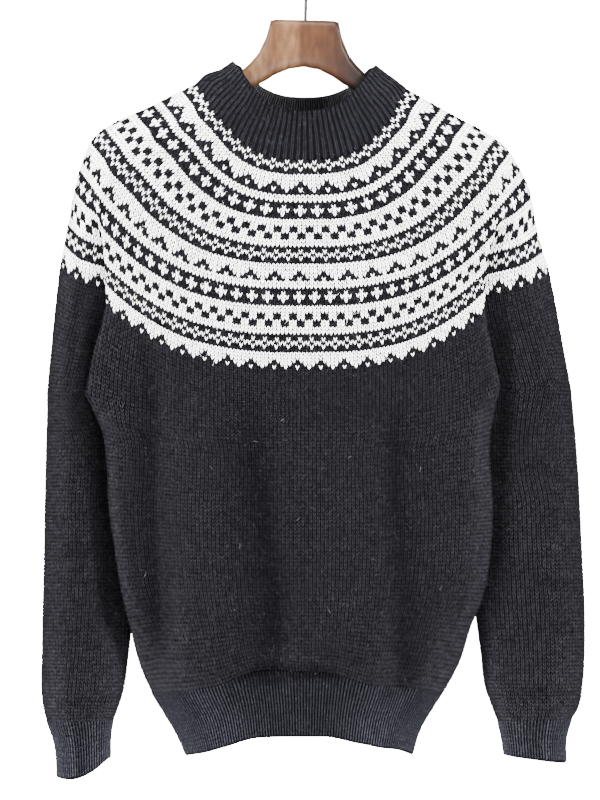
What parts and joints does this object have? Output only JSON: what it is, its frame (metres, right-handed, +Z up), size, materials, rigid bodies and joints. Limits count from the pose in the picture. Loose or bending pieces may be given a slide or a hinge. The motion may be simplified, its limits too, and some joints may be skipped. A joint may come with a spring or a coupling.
{
  "type": "nordic sweater on hanger",
  "caption": "Hand-knit wool sweater with a round patterned yoke, ribbed crew collar, long sleeves and ribbed hem, hanging on a shaped wooden hanger by its wire hook",
  "frame": {"origin": "the inside top of the hook, where a rail carries the hanger", "axes": "+Z up, the sweater's front faces -Y, the wearer's right side is at -X"},
  "size_m": [0.575, 0.1382, 0.8695],
  "materials": {
    "patterned_wool": "stranded colourwork knit, cream on charcoal, about half of each",
    "plain_wool": "plain charcoal-black wool knit, matt with fine fuzz",
    "rib_wool": "charcoal-black wool in vertical ribs",
    "lacquered_wood": "mid-brown wood, clear lacquer, satin",
    "hook_steel": "dark plated round wire"
  },
  "bodies": {
    "root": {"yoke": "patterned_wool", "front": "plain_wool", "back": "plain_wool", "sleeve_right": "plain_wool", "sleeve_left": "plain_wool", "collar": "rib_wool", "hem_rib": "rib_wool", "cuff_right": "rib_wool", "cuff_left": "rib_wool", "hanger": "lacquered_wood", "hook": "hook_steel"}
  },
  "joints": []
}
